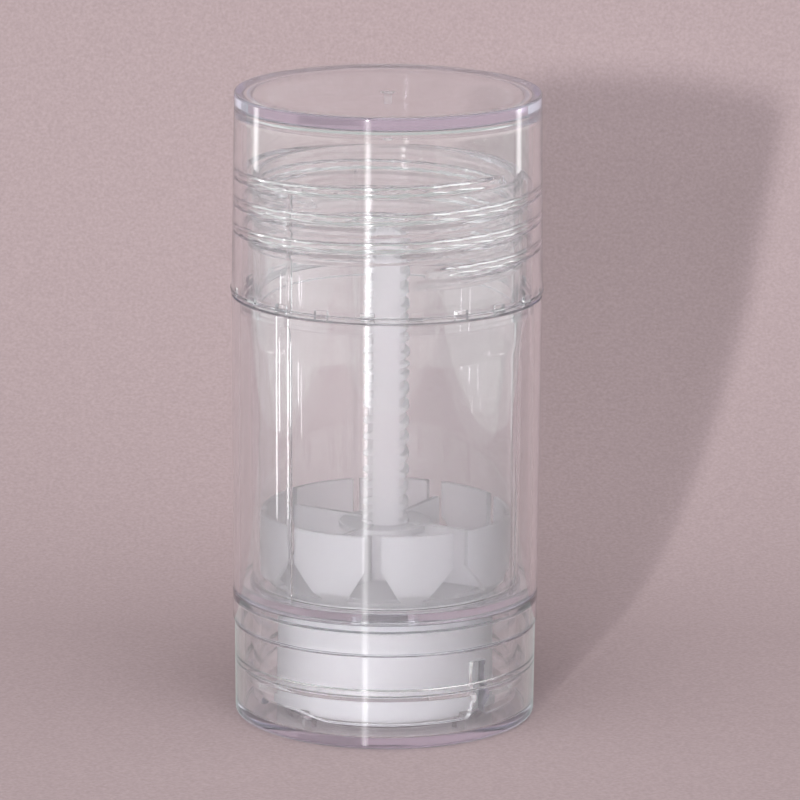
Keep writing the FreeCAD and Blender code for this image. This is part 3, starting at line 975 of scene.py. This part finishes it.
lamps = {
    # name: azimuth (from the camera's side, right is positive), elevation, distance m, size m,
    # watts, and for the overhead lamp the point it faces
    "key": (-14.8, 12.4, 1.3, (0.03, 0.05), 12.2),
    "overhead": (0, 84, 0.6, (0.5, 0.5), 3.9, (0, -0.14, 0.05)),
    "leftSoftbox": (-95, 14, 0.9, (1.5, 1.0), 1.6),
    "rightSoftbox": (74, 14, 0.9, (1.5, 1.0), 3.2),
}

strips = {
    # tall narrow lamps that only show as gleams on the clear walls
    "frontStrip": (-14.6, -12.7, 0.8, (0.05, 0.096), 0.022),
    "frontGlow": (-14.6, -13, 0.81, (0.1, 0.6), 0.45),
    "leftStripA": (-77, -13.4, 0.8, (0.02, 0.066), 0.04),
    "leftStripB": (-88, -13.4, 0.8, (0.03, 0.066), 0.04),
    "leftBar": (-114, -6.1, 0.8, (0.16, 0.031), 0.04),
    "rightBar": (113, -6.1, 0.8, (0.16, 0.031), 0.04),
}
stripMiddle = 2                     # times as bright as an even strip of the same power


def areaLamp(name, azimuth, elevation, distance, size, power, target=(0, 0, 0.05)):
    data = bpy.data.lights.new(name, "AREA")
    data.shape = "RECTANGLE"
    data.size, data.size_y = size
    data.energy = power
    lamp = bpy.data.objects.new(name, data)
    bpy.context.scene.collection.objects.link(lamp)
    bearing = math.radians(azimuth - 90)
    rise = math.radians(elevation)
    away = Vector((math.cos(bearing) * math.cos(rise), math.sin(bearing) * math.cos(rise),
                   math.sin(rise)))
    lamp.location = Vector(target) + away * distance
    lamp.rotation_euler = away.to_track_quat("Z", "Y").to_euler()
    lamp.visible_camera = False
    return lamp


def softSides(lamp):
    # the strip fades from its middle towards its two long sides
    middle = 0.5
    lamp.data.use_nodes = True
    tree = lamp.data.node_tree
    tree.nodes.clear()
    place = addNode(tree, "ShaderNodeNewGeometry")
    across = addNode(tree, "ShaderNodeSeparateXYZ", links={0: (place, "Parametric")})
    aside = addNode(tree, "ShaderNodeMath", operation="SUBTRACT", links={0: (across, "X")},
                    values={1: middle})
    away = addNode(tree, "ShaderNodeMath", operation="ABSOLUTE", links={0: (aside, 0)})
    fall = addNode(tree, "ShaderNodeMapRange", interpolation_type="SMOOTHSTEP",
                   links={"Value": (away, 0)},
                   values={"From Max": middle, "To Min": stripMiddle, "To Max": 0})
    glow = addNode(tree, "ShaderNodeEmission", links={"Strength": (fall, 0)})
    addNode(tree, "ShaderNodeOutputLight", links={"Surface": (glow, 0)})


makePaper()
makeWorld()
for name, settings in lamps.items():
    lamp = areaLamp(name, *settings)
    lamp.visible_glossy = name == "key"
    lamp.visible_transmission = name != "overhead"
for name, settings in strips.items():
    strip = areaLamp(name, *settings)
    strip.visible_diffuse = False
    softSides(strip)
tracing = bpy.context.scene.cycles
tracing.max_bounces = 24           # many clear walls lie one behind another
tracing.transmission_bounces = 24
tracing.glossy_bounces = 16
print("stage ready")

# camera
cameraView = {
    "target": (0, 0, 0.05),
    "distance": 0.871,
    "elevation": 13.56,
    "lens": 242.9,
    "sensor": 36.0,
    "roll": 0.35,
    "shift": (0.01725, 0.01135),
}


def makeCamera():
    data = bpy.data.cameras.new("camera")
    data.lens = cameraView["lens"]
    data.sensor_width = cameraView["sensor"]
    data.shift_x, data.shift_y = cameraView["shift"]
    camera = bpy.data.objects.new("camera", data)
    bpy.context.scene.collection.objects.link(camera)
    rise = math.radians(cameraView["elevation"])
    away = Vector((0, -math.cos(rise), math.sin(rise)))
    camera.location = Vector(cameraView["target"]) + away * cameraView["distance"]
    look = away.to_track_quat("Z", "Y")
    look.rotate(Quaternion(away, math.radians(cameraView["roll"])))
    camera.rotation_euler = look.to_euler()
    bpy.context.scene.camera = camera


makeCamera()
bpy.context.scene.view_settings.view_transform = "Standard"
